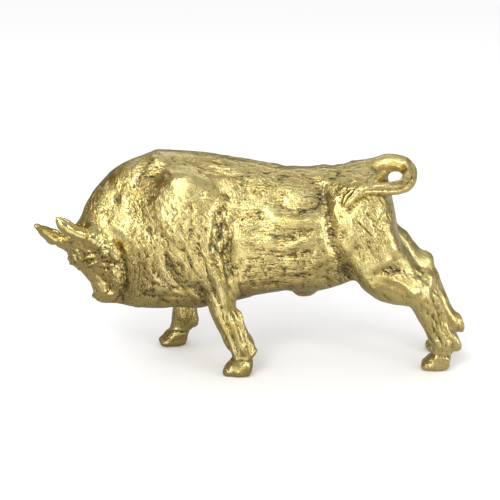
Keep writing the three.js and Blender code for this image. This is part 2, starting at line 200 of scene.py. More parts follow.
def rounded(points, edges, rounds):
    """Points smoothed without shrinking: each round pulls them in and pushes them back out."""
    for _ in range(rounds):
        points = relaxed(points, edges, 1, PULL_IN)
        points = relaxed(points, edges, 1, PUSH_OUT)
    return points


def read_mesh(mesh):
    """The points in millimetres, their normals and the edges of a mesh, as arrays."""
    points = np.empty(len(mesh.vertices) * 3, np.float32)
    normals = np.empty(len(mesh.vertices) * 3, np.float32)
    edges = np.empty(len(mesh.edges) * 2, np.int32)
    mesh.vertices.foreach_get("co", points)
    mesh.vertex_normals.foreach_get("vector", normals)
    mesh.edges.foreach_get("vertices", edges)
    return points.reshape(-1, 3) / MM, normals.reshape(-1, 3).astype(float), edges.reshape(-1, 2)


def write_points(mesh, points):
    """Puts points in millimetres back into a mesh."""
    mesh.vertices.foreach_set("co", (points * MM).astype(np.float32).ravel())
    mesh.update()


def path_share(points, path):
    """How far along a path each point's nearest place is, from 0 to 1, and how far off it: the
    nearest of the feet of its perpendiculars on the path's straight pieces."""
    path = np.array(path, float)
    steps = np.diff(path, axis=0)
    lengths = np.linalg.norm(steps, axis=1)
    starts = np.concatenate([[0], np.cumsum(lengths)[:-1]])
    nearest = np.full(len(points), np.inf)
    share = np.zeros(len(points))
    for a, step, length, start in zip(path[:-1], steps, lengths, starts):
        t = np.clip((points - a) @ step / length ** 2, 0, 1)
        gap = np.linalg.norm(points - a - t[:, None] * step, axis=1)
        closer = gap < nearest
        nearest = np.where(closer, gap, nearest)
        share = np.where(closer, (start + t * length) / lengths.sum(), share)
    return share, nearest


# The powers that shape ridges and grooves, how many widths they reach, and the share of the way
# at each end that is left at its full thinness
ROUND_RIDGE = 2
SHARP_GROOVE = 1.3
STROKE_REACH = 3
STROKE_END = 0.02


def stroke(places, path, width, height):
    """A ridge or groove along a path in the picture: height times exp(-(gap / width)^n), where n
    is 2 for a round ridge and 1.3 for the sharper bottom of a groove. It fades at both ends as
    the square root of sin(pi share)."""
    path = np.array(path, float)
    power = ROUND_RIDGE if height > 0 else SHARP_GROOVE
    lift = np.zeros(len(places))
    reach = STROKE_REACH * width
    near = ((places > path.min(0) - reach) & (places < path.max(0) + reach)).all(1)
    if near.any():
        share, gap = path_share(places[near], path)
        ends = np.sqrt(np.sin(np.pi * np.clip(share, STROKE_END, 1 - STROKE_END)))
        lift[near] = height * ends * np.exp(-(gap / width) ** power)
    return lift


# The horns' middle lines from root to tip, in hundredths of the length along the head's directions
HORN_PATHS = {
    "near": [(4.6, -1.2, 0.2), (6.3, 0.6, -1.2), (6.5, 3.6, -4.0),
             (6.4, 5.6, -6.6), (6.4, 6.7, -9.3)],
    "far": [(-4.6, -1.2, 0.4), (-5.9, 0.5, -1.8), (-5.8, 2.4, -4.6),
            (-4.9, 4.1, -6.6), (-3.9, 5.3, -8.0)],
}
HORN_LINES = {side: [on_head(*bend) for bend in bends] for side, bends in HORN_PATHS.items()}

# The shanks, from the knee or hock down to the ankle, and the side that each stands on
SHANKS = [
    (-1, [(-5.7, -9.27, 15.8), (-4.0, -9.27, 10.9), (-2.3, -9.27, 6.6)]),
    (1, [(-15.0, 9.27, 15.8), (-15.35, 9.27, 10.9), (-15.7, 9.27, 6.6)]),
    (-1, [(38.0, -6.54, 18.8), (40.4, -6.24, 14.3), (42.2, -5.94, 10.2), (43.7, -5.94, 6.3)]),
    (1, [(39.2, 6.54, 18.8), (42.1, 6.24, 14.3), (44.4, 5.94, 10.2), (46.1, 5.94, 6.3)]),
]

# The hooves: middle of the foot in mm, and the side that each turns in from
HOOVES = [((-10.4, -25.5), -1), ((-54.7, 27.5), 1), ((118.6, -16.0), -1), ((125.5, 18.0), 1)]
HOOF_HEIGHT = 12.5
TOE_IN = 0.12

# Where the grid is twice as fine, in mm: round the head and horns, below the belly, and behind,
# above and left of a corner for the tail. The knife marks on the thigh are in pixels
HEAD_MIDDLE = on_head(1.0, 0, 5.0)
HEAD_REACH = 40
HORN_REACH = 9
LEG_TOP = 44
TAIL_CORNER = (52, -12, 110)
KNIFE_MARKS = (372, 226)
KNIFE_MARKS_REACH = 16
THIGH_SIDE = -15


def fine_region(points):
    """The head with its horns and ears, the legs, the tail, and the knife marks on the thigh."""
    x, y, z = points.T
    head = np.linalg.norm(points - HEAD_MIDDLE, axis=1) < HEAD_REACH
    tips = np.minimum(*[path_share(points, line)[1] for line in HORN_LINES.values()]) < HORN_REACH
    legs = z < LEG_TOP
    tail = (x > TAIL_CORNER[0]) & (y < TAIL_CORNER[1]) & (z > TAIL_CORNER[2])
    marks = np.linalg.norm(in_photo(points) - np.array(KNIFE_MARKS), axis=1) < KNIFE_MARKS_REACH
    return head | tips | legs | tail | (marks & (y < THIGH_SIDE))


def cast_copy(node):
    """A copy of a solid's mesh, merged, remade on an even grid, smoothed, and then twice as
    fine where the carving is finest."""
    mesh = node.data.copy()
    shape = bmesh.new()
    shape.from_mesh(mesh)
    bmesh.ops.remove_doubles(shape, verts=shape.verts, dist=WELD * MM)
    shape.to_mesh(mesh)
    shape.free()
    piece = bpy.data.objects.new("bull_casting", mesh)
    bpy.context.scene.collection.objects.link(piece)
    remesh = piece.modifiers.new("even grid", "REMESH")
    remesh.mode = "VOXEL"
    remesh.voxel_size = GRAIN * MM
    remesh.use_smooth_shade = True
    bpy.context.view_layer.update()
    even = bpy.data.meshes.new_from_object(piece.evaluated_get(bpy.context.evaluated_depsgraph_get()))
    piece.modifiers.clear()
    piece.data = even
    points, _, edges = read_mesh(even)
    points = rounded(points, edges, COARSE_ROUNDS)
    write_points(even, points)
    fine = fine_region(points)
    chosen = np.flatnonzero(fine[edges[:, 0]] & fine[edges[:, 1]])
    shape = bmesh.new()
    shape.from_mesh(even)
    shape.edges.ensure_lookup_table()
    bmesh.ops.subdivide_edges(shape, edges=[shape.edges[i] for i in chosen], cuts=1, use_grid_fill=True)
    bmesh.ops.triangulate(shape, faces=shape.faces[:])
    shape.to_mesh(even)
    shape.free()
    even.shade_smooth()
    return piece


# Carving on the left side, in pixels of the photograph: path, half width in pixels, height in mm
MUSCLES = [
    # shoulder blade, hollow in front of it, neck cord, crest of the neck and its knob
    ([(168, 176), (188, 184), (206, 197)], 12, 0.9),
    ([(152, 182), (141, 208), (146, 240)], 9, -0.9),
    ([(98, 233), (112, 228), (130, 238)], 7, 0.9),
    ([(128, 180), (117, 200), (108, 220)], 6, -0.5),
    ([(146, 162), (138, 180), (132, 200)], 4, -0.4),
    ([(137, 170), (128, 186), (120, 206)], 4, 0.3),
    ([(150, 158), (162, 159)], 4, 0.9),
    # creases behind the shoulder and the elbow, and folds of the upper arm
    ([(234, 214), (229, 245), (225, 272), (232, 300)], 2.8, -1.0),
    ([(222, 222), (218, 240), (214, 262)], 2.2, -0.8),
    ([(214, 228), (211, 250), (218, 278)], 2.4, -0.9),
    ([(196, 236), (204, 262), (213, 290)], 2.6, -0.9),
    ([(205, 236), (209, 258), (217, 282)], 3.4, 0.8),
    ([(222, 232), (219, 256), (226, 286)], 3.2, 0.8),
    ([(176, 232), (184, 256), (196, 280)], 3, -0.7),
    ([(160, 228), (166, 254), (178, 280)], 3, -0.6),
    ([(164, 258), (172, 276), (186, 294)], 2.6, -0.8),
    ([(150, 262), (166, 284), (190, 298)], 3, -0.7),
    ([(140, 296), (165, 297), (196, 299)], 2.2, -0.6),
    # ribs and the folds of the flank
    ([(250, 190), (246, 215), (252, 236)], 7, 0.2),
    ([(272, 200), (296, 213), (318, 207), (326, 196)], 3.6, -0.8),
    ([(268, 186), (284, 176), (308, 176), (322, 188)], 3.2, -0.5),
    ([(284, 190), (300, 194), (312, 190)], 9, 0.6),
    ([(262, 208), (280, 220), (305, 222), (324, 214)], 4.2, 0.8),
    ([(248, 230), (276, 237), (300, 232), (322, 229)], 3.2, -0.6),
    ([(256, 244), (284, 247), (312, 239)], 3.8, 0.55),
    ([(266, 254), (288, 257), (328, 247)], 2.4, -0.55),
    ([(292, 260), (304, 258), (328, 253)], 2.6, 0.3),
    # crease in front of the thigh
    ([(318, 182), (326, 202), (330, 236), (342, 264), (352, 282)], 2.2, -0.85),
    ([(326, 180), (336, 202), (340, 232), (350, 258)], 5, 0.35),
    # thigh with knife marks, its rear edge, the hollow under it and the gaskin's ridge
    ([(338, 236), (345, 246), (352, 252)], 3.6, 0.8),
    ([(352, 216), (350, 236), (356, 256)], 5, 0.5),
    ([(366, 213), (378, 222)], 1.0, -1.5),
    ([(356, 221), (373, 237)], 1.0, -1.2),
    ([(376, 226), (381, 219), (385, 212)], 1.0, -1.2),
    ([(371, 228), (375, 240)], 1.1, 0.5),
    ([(366, 242), (376, 252), (384, 262)], 5, -0.8),
    ([(388, 222), (392, 244), (402, 262)], 4.6, 1.0),
    ([(380, 272), (390, 268.5), (402, 272)], 3.2, -1.8),
    ([(388, 277), (402, 284), (416, 296)], 2.2, 1.4),
    ([(392, 280), (406, 290)], 0.9, -0.5),
    ([(384, 288), (400, 296), (416, 308)], 3.4, -0.6),
    ([(412, 262), (424, 272), (430, 286)], 2.4, -0.8),
    ([(404, 240), (416, 250), (426, 254)], 2.6, -0.8),
    ([(412, 250), (420, 252.5), (427, 253)], 2, 0.6),
    # pit with a raised rim on the corner of the hock
    ([(421, 262), (425, 259), (429, 262), (425, 265), (421, 262)], 0.9, 0.5),
    ([(423.4, 262), (426.8, 262)], 1.3, -1.2),
    # lower edge of the thigh, and the sinew that runs down to the ankle
    ([(420, 290), (430, 306), (436, 322)], 2.2, -0.8),
    ([(436, 288), (443, 310), (449, 336)], 2.0, 0.8),
    ([(431, 288), (436, 304), (441, 318)], 1.2, -0.6),
    # cords of the near foreleg above and below the knee
    ([(214, 262), (220, 290), (228, 312)], 2.4, 0.8),
    ([(222, 296), (226, 308)], 4, 0.7),
    ([(209, 290), (214, 304)], 3.4, 0.8),
    ([(238, 268), (240, 286), (243, 300)], 2.2, -0.7),
    ([(213, 306), (217, 313)], 2.2, 0.6),
    ([(218, 307), (222, 322), (228, 336)], 1.8, 0.9),
    ([(226, 309), (228.5, 325), (233, 344)], 1.0, -1.1),
    ([(231, 312), (236, 331), (240, 346)], 1.4, 0.9),
    ([(234, 314), (238.5, 328), (243, 344)], 0.9, -0.9),
    ([(238, 310), (244, 330), (249, 344)], 1.4, 0.8),
    ([(220, 326), (226, 340), (230, 350)], 0.9, -0.9),
    ([(233, 348), (236, 357), (239, 364)], 1.6, 1.0),
    ([(240, 350), (243, 358), (243, 366)], 1.2, -1.0),
    ([(249, 358), (253, 352), (257, 349)], 1.6, 1.3),
    # far knee
    ([(177, 318), (180, 321)], 1.8, -0.9),
    ([(176, 324), (184, 325)], 1.8, 0.7),
    ([(176, 328), (184, 330)], 1.4, 0.6),
    ([(176, 326.4), (184, 327.6)], 1.0, -0.5),
]

# The tail: its ridge, the grooves outside and inside its bend, and the strands of its tip
TAIL = [
    ([(393, 156), (405, 159), (409, 171), (400, 182), (382, 185.5), (364, 185.5), (352, 192)],
     1.5, 0.9),
    ([(399, 154), (411, 161), (413, 175), (404, 188), (384, 191), (366, 191), (356, 198)],
     1.3, -1.0),
    ([(388, 161), (399, 164), (403, 171), (396, 178), (380, 181.5)], 1.2, -0.6),
    ([(352, 190), (345, 197), (342, 205)], 1.2, 0.6),
    ([(358, 192), (350, 200), (347, 207)], 1.2, -0.5),
]

# The left half of the head, in the same units
FACE = [
    # eyelids with the slit between them, brow, and wrinkles under the eye
    ([(101, 262), (103.5, 259), (108, 258), (112, 261)], 1.5, 1.2),
    ([(101.5, 262.5), (106, 262.8), (111.5, 262)], 1.1, -1.2),
    ([(102, 265), (107, 266.4), (112, 264)], 1.3, 0.8),
    ([(97, 257), (103, 254), (112, 254.5)], 2.0, 0.8),
    ([(100, 268), (107, 270), (115, 267)], 1.2, -0.5),
    # curls of the forehead
    ([(83, 259), (88, 256.5), (94, 257.5)], 1.5, 1.1),
    ([(82, 262), (88, 261), (95, 260.5)], 1.3, -1.1),
    ([(84, 266), (90, 264.3), (96, 262.5)], 1.5, 1.2),
    ([(86, 268), (91, 268), (93, 274)], 1.8, -0.9),
    ([(84, 250), (90, 251.5), (97, 250)], 1.4, 0.7),
    ([(76, 250), (79, 256), (82, 263)], 1.6, 0.7),
    ([(72, 251), (75, 257), (78, 264)], 1.3, -0.7),
    # bridge and side of the nose
    ([(92, 274), (97, 284), (103, 293)], 3.4, 0.5),
    ([(99, 274), (104, 282), (109, 289)], 3.0, -0.6),
    # muzzle, nostril with its rim, mouth
    ([(105, 297), (109, 293.5), (114, 294)], 1.9, 1.5),
    ([(102, 290), (107, 289), (112, 289)], 1.6, -0.8),
    ([(110.4, 300.6), (112.6, 301)], 1.5, -1.8),
    ([(107, 301), (109, 298), (113, 298), (115.5, 300.5)], 1.1, 0.6),
    ([(103, 304.5), (111, 305), (117, 301.5), (121, 294)], 1.2, -1.1),
    ([(120, 290), (122, 296), (124, 302)], 2.0, -1.2),
    # cheek, and the fullness between jaw and neck
    ([(112, 272), (117, 280), (117, 290)], 4.4, 1.0),
    ([(122, 250), (130, 266), (131, 284), (127, 299)], 2.8, 0.8),
    # ear: its ridge, its rear edge, the hollow between it and the horn's root, and its lower edge
    ([(109, 241), (115, 248), (119.5, 256)], 2.2, 1.7),
    ([(122, 244), (126, 249), (129, 257)], 1.6, 0.7),
    ([(103, 246), (107, 250), (110.5, 257)], 1.8, -1.6),
    ([(113, 256), (117, 259), (122, 259)], 1.6, 0.8),
]

# Areas of chisel marks on the body: middle and half size in pixels, direction in degrees, its
# spread, how many, length and half width in pixels, depth in mm
CHISELLED = [
    ((128, 184), (26, 20), 118, 18, 70, 8, 1.0, 0.17),
    ((116, 226), (20, 16), 110, 30, 50, 9, 1.0, 0.3),
    ((140, 262), (18, 34), 84, 30, 120, 7, 1.1, 0.5),
    ((172, 218), (26, 22), 70, 24, 90, 7, 1.1, 0.4),
    ((160, 168), (22, 9), 30, 30, 60, 8, 1.0, 0.3),
    ((204, 168), (28, 9), 8, 16, 60, 12, 0.9, 0.32),
    ((186, 184), (26, 12), 30, 40, 60, 7, 0.9, 0.26),
    ((192, 250), (30, 26), 66, 16, 130, 10, 1.1, 0.55),
    ((176, 290), (36, 14), 24, 30, 80, 7, 1.2, 0.5),
    ((218, 244), (9, 28), 72, 12, 70, 10, 1.0, 0.6),
    ((228, 296), (12, 22), 68, 8, 40, 14, 1.0, 0.5),
    ((280, 169), (80, 9), 5, 7, 110, 16, 0.9, 0.36),
    ((290, 242), (46, 18), 4, 18, 120, 9, 1.1, 0.45),
    ((288, 274), (52, 14), 20, 70, 190, 6, 1.0, 0.4),
    ((370, 290), (26, 16), 35, 30, 70, 8, 1.0, 0.4),
    ((262, 200), (22, 30), 80, 40, 70, 6, 1.0, 0.3),
    ((334, 214), (8, 34), 60, 30, 50, 6, 1.0, 0.4),
    ((356, 176), (28, 14), 160, 24, 60, 7, 1.1, 0.4),
    ((368, 226), (22, 34), 48, 30, 60, 7, 1.0, 0.35),
    ((396, 286), (26, 14), 34, 18, 70, 9, 1.0, 0.4),
    ((424, 274), (10, 14), 55, 30, 40, 6, 1.0, 0.4),
    ((432, 318), (14, 28), 68, 12, 90, 9, 0.9, 0.4),
    ((182, 322), (12, 14), 88, 14, 26, 7, 1.0, 0.3),
]

# The same on the face, where the depths aren't multiplied
FACE_CHISELLED = [
    ((115, 275), (10, 14), 40, 60, 120, 3.6, 0.85, 0.5),
    ((99, 282), (7, 9), 60, 25, 30, 5, 0.9, 0.35),
    ((88, 250), (12, 6), 10, 40, 40, 4, 0.85, 0.45),
    ((72, 248), (9, 7), 60, 50, 30, 3.6, 0.85, 0.45),
    ((120, 262), (6, 8), 50, 20, 24, 5, 0.85, 0.4),
]

# How chisel marks vary: length, bend and depth as shares, and two grooves for each ridge
MARK_LENGTHS = (0.35, 0.6)
MARK_BEND = 0.12
MARK_DEPTHS = (0.6, 1.1)
MARK_SIGNS = [-1, -1, 0.8]


def carve(places, strokes):
    """The sum of all the strokes' heights."""
    return sum(stroke(places, *one) for one in strokes)


def chisel(places, areas, seed):
    """Short marks of one direction each, strewn evenly over their areas: each is a stroke through
    three places, its middle one moved aside."""
    chance = np.random.default_rng(seed)
    marks = []
    for middle, half, direction, spread, number, length, width, depth in areas:
        for _ in range(number):
            centre = np.array(middle) + np.array(half) * chance.uniform(-1, 1, 2)
            angle = math.radians(direction + spread * chance.uniform(-1, 1))
            on = np.array([math.cos(angle), math.sin(angle)])
            aside = np.array([-math.sin(angle), math.cos(angle)])
            reach = length * chance.uniform(*MARK_LENGTHS) * on
            bend = MARK_BEND * length * chance.uniform(-1, 1) * aside
            rise = depth * chance.choice(MARK_SIGNS) * chance.uniform(*MARK_DEPTHS)
            marks.append(([centre - reach, centre + bend, centre + reach], width, rise))
    return carve(places, marks)


# Where carving fades: how far from the middle of the face the head's gives way to the body's, how
# squarely a surface must face the picture, and how near the midline it stops, in mm for the body
# and in hundredths of the length for the head
FACE_MIDDLE = on_head(2.5, 0, 7.0)
FACE_END = (30, 36)
BODY_FACING = (0.02, 0.35)
BODY_MIDLINE = (-2, 3)
BODY_OVERLAP = -3
FACE_FACING = (0.0, 0.3)
FACE_MIDLINE = (-1.2, -0.2)

# The far half of the face is narrower than the near one: each place on it is carved as the one
# 1.45 times as far across on the near half, so it moves by 2.45 times its distance
FACE_MIRROR = 2.45

# Random seeds of the chisel marks
BODY_MARKS = 3
FACE_MARKS = 9


def carved(points, normals):
    """How far each point is lifted along its normal, in mm: the heights of the strokes and marks,
    times how squarely the surface faces the picture. The left side is carved as it lies in the
    photograph; the right side gets the mirror image of it, and the head its own mirror."""
    across = (points - POLL) @ ACROSS / SHARE
    headness = 1 - smooth(np.linalg.norm(points - FACE_MIDDLE, axis=1), *FACE_END)
    lift = np.zeros(len(points))
    for side in (-1, 1):
        turn = np.array([1, -side, 1.0])
        own = side * points[:, 1] > BODY_OVERLAP
        seen = in_photo(points[own] * turn)
        facing = smooth((normals[own] * turn) @ TO_CAMERA, *BODY_FACING)
        strength = facing * smooth(side * points[own, 1], *BODY_MIDLINE) * (1 - headness[own])
        strokes = MUSCLES + TAIL if side < 0 else MUSCLES
        marks = MUSCLE_DEPTH * carve(seen, strokes)
        marks += CHISEL_DEPTH * chisel(seen, CHISELLED, BODY_MARKS + side)
        lift[own] += strength * marks
    head = headness > 0
    across = across[head]
    for half in (1, -1):
        where, way = points[head], normals[head]
        if half < 0:
            where = where - FACE_MIRROR * SHARE * across[:, None] * ACROSS
            way = way - 2 * (way @ ACROSS)[:, None] * ACROSS
        facing = smooth(way @ TO_CAMERA, *FACE_FACING)
        on_half = smooth(half * across, *FACE_MIDLINE)
        seen = in_photo(where)
        marks = FACE_DEPTH * carve(seen, FACE) + chisel(seen, FACE_CHISELLED, FACE_MARKS)
        lift[head] += facing * on_half * headness[head] * marks
    return lift


# Cords round a shank: angle from its front, half width in radians, height in mm
CORDS = [
    (0.0, 0.30, 0.55), (0.55, 0.14, -0.55), (0.95, 0.22, 0.5), (1.4, 0.13, -0.6),
    (1.85, 0.24, 0.6), (2.35, 0.16, -0.8), (math.pi, 0.40, 0.5),
    (-0.6, 0.15, -0.5), (-1.1, 0.28, 0.5), (-1.9, 0.2, -0.6), (-2.5, 0.2, 0.4),
]

# How far from a shank's axis the cords reach, how they waver, and where they fade in and out,
# above its lower and its upper end
SHANK_REACH = 14
WAVER = 0.22
WAVER_SIZE = 15
WAVER_SEED = 21
CORDS_START = (-5, 3)
CORDS_END = (-2, 7)


def shank_lift(points, side, path):
    """Sinews of a shank: ridges and grooves at chosen angles round its axis, wavering a little
    and fading above and below."""
    joints = np.array([place(*joint) for joint in path])[::-1]
    height = points[:, 2]
    x = np.interp(height, joints[:, 2], joints[:, 0])
    y = np.interp(height, joints[:, 2], joints[:, 1])
    out = side * (points[:, 1] - y)
    ahead = x - points[:, 0]
    angle = np.arctan2(out, ahead) + WAVER * noise(points, WAVER_SIZE, WAVER_SEED)
    lift = np.zeros(len(points))
    for middle, width, rise in CORDS:
        gap = (angle - middle + math.pi) % (2 * math.pi) - math.pi
        lift += swell(gap, 0, width, rise)
    fade = smooth(height - joints[0, 2], *CORDS_START)
    fade = fade * (1 - smooth(height - joints[-1, 2], *CORDS_END))
    return np.where(np.hypot(out, ahead) < SHANK_REACH, lift * fade, 0)


# How far a hoof's relief reaches ahead, aside and above the hoof, in mm
HOOF_REACH = (15, 12, 9)

# The cleft between the claws: its depth and half width, how deep it is at the heel as a share,
# and where it begins in front and behind and ends above
CLEFT_DEPTH = 1.3
CLEFT_WIDTH = 0.9
HEEL_CLEFT = 0.8
CLEFT_FRONT = (1, 5)
CLEFT_BACK = (3, 7)
CLEFT_TOP = (8, HOOF_HEIGHT + 1)

# The horn's rim: how far below the hoof's top it runs, how it rises to the front, how it wavers,
# and its swelling and groove as place above it, half width and height
RIM_DROP = 1.0
RIM_SLOPE = 0.12
RIM_WAVER = 0.5
RIM_WAVER_SIZE = 5
RIM_WAVER_SEED = 31
RIM = (1.6, 1.2, 0.3)
RIM_GROOVE = (0, 0.7, -0.4)

# The sloping front, the toe and the heel: height above the sole, half width and height of each,
# and where it begins, ahead of the middle or behind it
FRONT = (HOOF_HEIGHT, 4.5, -2.5)
TOE = (2.5, 3, 1.0)
HEEL = (2, 4, -1.0)
FRONT_FROM = (0, 5)
TOE_FROM = (2, 6)
HEEL_FROM = (2, 7)


def hoof_lift(points, middle, side):
    """The cleft between the claws, the rim of the horn and its groove, the slope of the front, the
    toe and the heel. Each is a bell over the height or the width, times a smooth step forwards
    or backwards."""
    turn = TOE_IN * side
    forward = np.array([-math.cos(turn), -math.sin(turn)])
    sideways = np.array([-math.sin(turn), math.cos(turn)])
    flat = points[:, :2] - np.array(middle)
    ahead = flat @ forward
    out = flat @ sideways
    height = points[:, 2]
    near = (np.abs(ahead) < HOOF_REACH[0]) & (np.abs(out) < HOOF_REACH[1])
    near &= height < HOOF_HEIGHT + HOOF_REACH[2]
    ends = smooth(ahead, *CLEFT_FRONT) + HEEL_CLEFT * smooth(-ahead, *CLEFT_BACK)
    cleft = swell(out, 0, CLEFT_WIDTH, -CLEFT_DEPTH) * ends * (1 - smooth(height, *CLEFT_TOP))
    rim_height = HOOF_HEIGHT - RIM_DROP + RIM_SLOPE * ahead
    rim_height += RIM_WAVER * noise(points, RIM_WAVER_SIZE, RIM_WAVER_SEED)
    rim = swell(height - rim_height, *RIM) + swell(height - rim_height, *RIM_GROOVE)
    front = swell(height, *FRONT) * smooth(ahead, *FRONT_FROM)
    toe = swell(height, *TOE) * smooth(ahead, *TOE_FROM)
    heel = swell(height, *HEEL) * smooth(-ahead, *HEEL_FROM)
    return np.where(near, cleft + rim + front + toe + heel, 0)


# Swellings and waists of the horns: share of the way from root to tip, half width, height in mm
HORN_RELIEF = {
    "near": [(0.85, 0.16, 1.2), (0.36, 0.05, -0.8), (0.22, 0.10, 1.7)],
    "far": [(0.38, 0.09, 1.0), (0.27, 0.03, -0.8), (0.80, 0.11, -1.0), (0.98, 0.03, 0.6)],
}
HORN_THICKNESS = 8


def horn_lift(points):
    """The swollen root of each horn and the waist above it, the near horn's broad blade, and the
    far horn's waist below its knob: bells over the share of the way along it."""
    lift = np.zeros(len(points))
    for side, line in HORN_LINES.items():
        share, gap = path_share(points, line)
        relief = sum(swell(share, *one) for one in HORN_RELIEF[side])
        lift += np.where(gap < HORN_THICKNESS, relief, 0)
    return lift


# Painted shade and painted highlight: ovals where the bronze is painted darker, in creases, hollows,
# under the horn's root, on the lower neck, belly and ribs, or, with a minus sign, lighter where
# highlights fall: middle and half size in pixels, and how much
PAINTED_SHADE_AND_HIGHLIGHT = [
    ((219, 234), (9, 24), 0.18), ((206, 262), (14, 30), 0.12), ((150, 276), (30, 24), 0.2),
    ((226, 290), (6, 20), 0.16), ((128, 282), (6, 20), 0.10), ((284, 270), (48, 12), 0.16),
    ((246, 298), (10, 8), 0.20), ((336, 246), (7, 38), 0.08), ((326, 206), (12, 12), 0.05),
    ((392, 270), (12, 6), 0.22), ((108, 250), (8, 6), 0.14), ((96, 262), (16, 14), 0.02),
    ((160, 176), (14, 14), 0.06), ((186, 184), (28, 14), -0.34), ((112, 230), (18, 12), -0.26),
    ((296, 200), (20, 14), 0.02), ((290, 180), (24, 8), 0.06), ((228, 296), (8, 22), -0.16),
    ((96, 282), (6, 14), -0.16), ((390, 248), (6, 20), -0.16), ((402, 286), (12, 8), -0.2),
    ((452, 320), (6, 18), -0.2), ((356, 176), (16, 10), -0.10), ((110, 296), (6, 5), -0.2),
]


def painted_shade_and_highlight_at(points):
    """How much painted shade each point gets, or with a minus sign painted highlight: the sum of soft
    ovals in the picture, each its amount times a bell across and a bell down. Both sides share them."""
    seen = in_photo(points * np.array([1, 0, 1]) - np.abs(points) * np.array([0, 1, 0]))
    total = np.zeros(len(points))
    for middle, half, amount in PAINTED_SHADE_AND_HIGHLIGHT:
        total += amount * bell(seen[:, 0], middle[0], half[0]) * bell(seen[:, 1], middle[1], half[1])
    return total


# Where the hair changes its direction, as the start and end of each change in mm: it hangs on the
# legs and low on the neck, slants on the shoulder and the haunch, and lies along the back
LEGS_HANG = (34, 44)
NECK_HANGS = (-78, -50)
NECK_HANGS_UNDER = (66, 92)
SHOULDER_SLANTS = (-20, 4)
HAUNCH_SLANTS = (48, 66)
SLANTS_UNDER = (122, 134)
SLANT = math.radians(28)


def strands(points):
    """Which way the hair is combed: weights for strokes along the back, slanting down and back,
    and straight down, which are products of smooth steps and add up to 1."""
    x, y, z = points.T
    neck = (1 - smooth(x, *NECK_HANGS)) * (1 - smooth(z, *NECK_HANGS_UNDER))
    down = np.maximum(1 - smooth(z, *LEGS_HANG), neck)
    slanting = np.maximum(1 - smooth(x, *SHOULDER_SLANTS), smooth(x, *HAUNCH_SLANTS))
    slanting = slanting * (1 - smooth(z, *SLANTS_UNDER)) * (1 - down)
    along = 1 - down - slanting
    return np.stack([along, slanting, down], axis=1)


# A lock's thickness as a share of its length
LOCK_STRETCH = 0.2


def combed(points, weights, size, seed):
    """Hair strokes of a size: noise drawn out along the back, on a slant or downwards, mixed by
    the weights."""
    slanted = np.array([[math.cos(SLANT), 0, math.sin(SLANT)], [0, 1, 0],
                        [-math.sin(SLANT), 0, math.cos(SLANT)]])
    lengthwise = np.array([LOCK_STRETCH, 1, 1])
    upright = np.array([1, 1, LOCK_STRETCH])
    along = noise(points * lengthwise, size, seed)
    slanting = noise(points @ slanted.T * upright, size, seed + 1)
    down = noise(points * upright, size, seed + 2)
    return weights[:, 0] * along + weights[:, 1] * slanting + weights[:, 2] * down


# The clay's own unevenness: size, height and random seed of its swells, dabs, locks and hairs
SWELLS = (13, 0.25, 1)
DABS = (12, 0.62, 100)
LOCKS = (5.5, 0.26, 51)
HAIRS = (3.2, 0.12, 41)

# Under the painted highlights the clay is shallower by this share, in full from this much painted
# highlight
HIGHLIGHT_SMOOTHS = 0.5
HIGHLIGHT_SMOOTHS_FULLY = 0.28


def modelled(points, comb):
    """The clay's own unevenness in mm: the heights times noise, dabs and combed strokes of each
    size, shallower under the painted highlights."""
    size, height, seed = SWELLS
    clay = height * noise(points, size, seed)
    size, height, seed = DABS
    clay += height * dabs(points, size, seed)
    for size, height, seed in (LOCKS, HAIRS):
        clay += height * combed(points, comb, size, seed)
    return clay * (1 - HIGHLIGHT_SMOOTHS * smooth(-painted_shade_and_highlight_at(points), 0, HIGHLIGHT_SMOOTHS_FULLY))


# Hollows: rounds of taking the neighbours' mean, how much the near and the wide mean count in mm,
# and the least and most that is kept
MEAN_PULL = 0.8
NEAR_ROUNDS = 2
NEAR_SHARE = 2.2
WIDE_ROUNDS = 16
WIDE_SHARE = 0.45
HOLLOW_RANGE = (-0.3, 0.4)


def hollows(points, normals, edges):
    """How deep each point lies in a hollow, which holds the patina: how far the mean of its
    neighbours, near and wide, stands above it along its normal, each times its share."""
    near = relaxed(points, edges, NEAR_ROUNDS, MEAN_PULL)
    wide = relaxed(points, edges, WIDE_ROUNDS, MEAN_PULL)
    depth = NEAR_SHARE * ((near - points) * normals).sum(1)
    depth += WIDE_SHARE * ((wide - points) * normals).sum(1)
    return np.clip(depth, *HOLLOW_RANGE)


def store(mesh, name, values):
    """Keeps one value, or one vector, per point in the mesh, for the material to read."""
    kind, field = ("FLOAT", "value") if values.ndim == 1 else ("FLOAT_VECTOR", "vector")
    mesh.attributes.new(name, kind, "POINT").data.foreach_set(field, values.astype(np.float32).ravel())


# How far from their middle lines the smooth horns end, in mm, and the last softening
HORN_EDGE = (7, 9)
LAST_PULL = 0.2


def bull_casting(node):
    """The casting: the solid's copy with every relief added along its normals, kept flat at the
    soles, and what the material reads stored on its points."""
    casting = cast_copy(node)
    mesh = casting.data
    points, _, edges = read_mesh(mesh)
    points = rounded(points, edges, FINE_ROUNDS)
    write_points(mesh, points)
    _, normals, _ = read_mesh(mesh)
    horns = np.minimum(path_share(points, HORN_LINES["near"])[1],
                       path_share(points, HORN_LINES["far"][1:])[1])
    polished = 1 - smooth(horns, *HORN_EDGE)
    comb = strands(points)
    lift = (carved(points, normals) + modelled(points, comb)) * (1 - polished)
    lift += sum(shank_lift(points, *shank) for shank in SHANKS)
    lift += sum(hoof_lift(points, *hoof) for hoof in HOOVES)
    lift += horn_lift(points)
    points = points + normals * np.clip(lift, -SINK_LIMIT, LIFT_LIMIT)[:, None]
    points = relaxed(points, edges, 1, LAST_PULL)
    points[:, 2] = np.maximum(points[:, 2], 0)
    write_points(mesh, points)
    _, normals, _ = read_mesh(mesh)
    store(mesh, "hollow", hollows(points, normals, edges))
    # painted shade and painted highlight, kept on the points for the material
    store(mesh, "shade_and_highlight", painted_shade_and_highlight_at(points))
    store(mesh, "polish", polished)
    store(mesh, "comb", comb)
    return casting


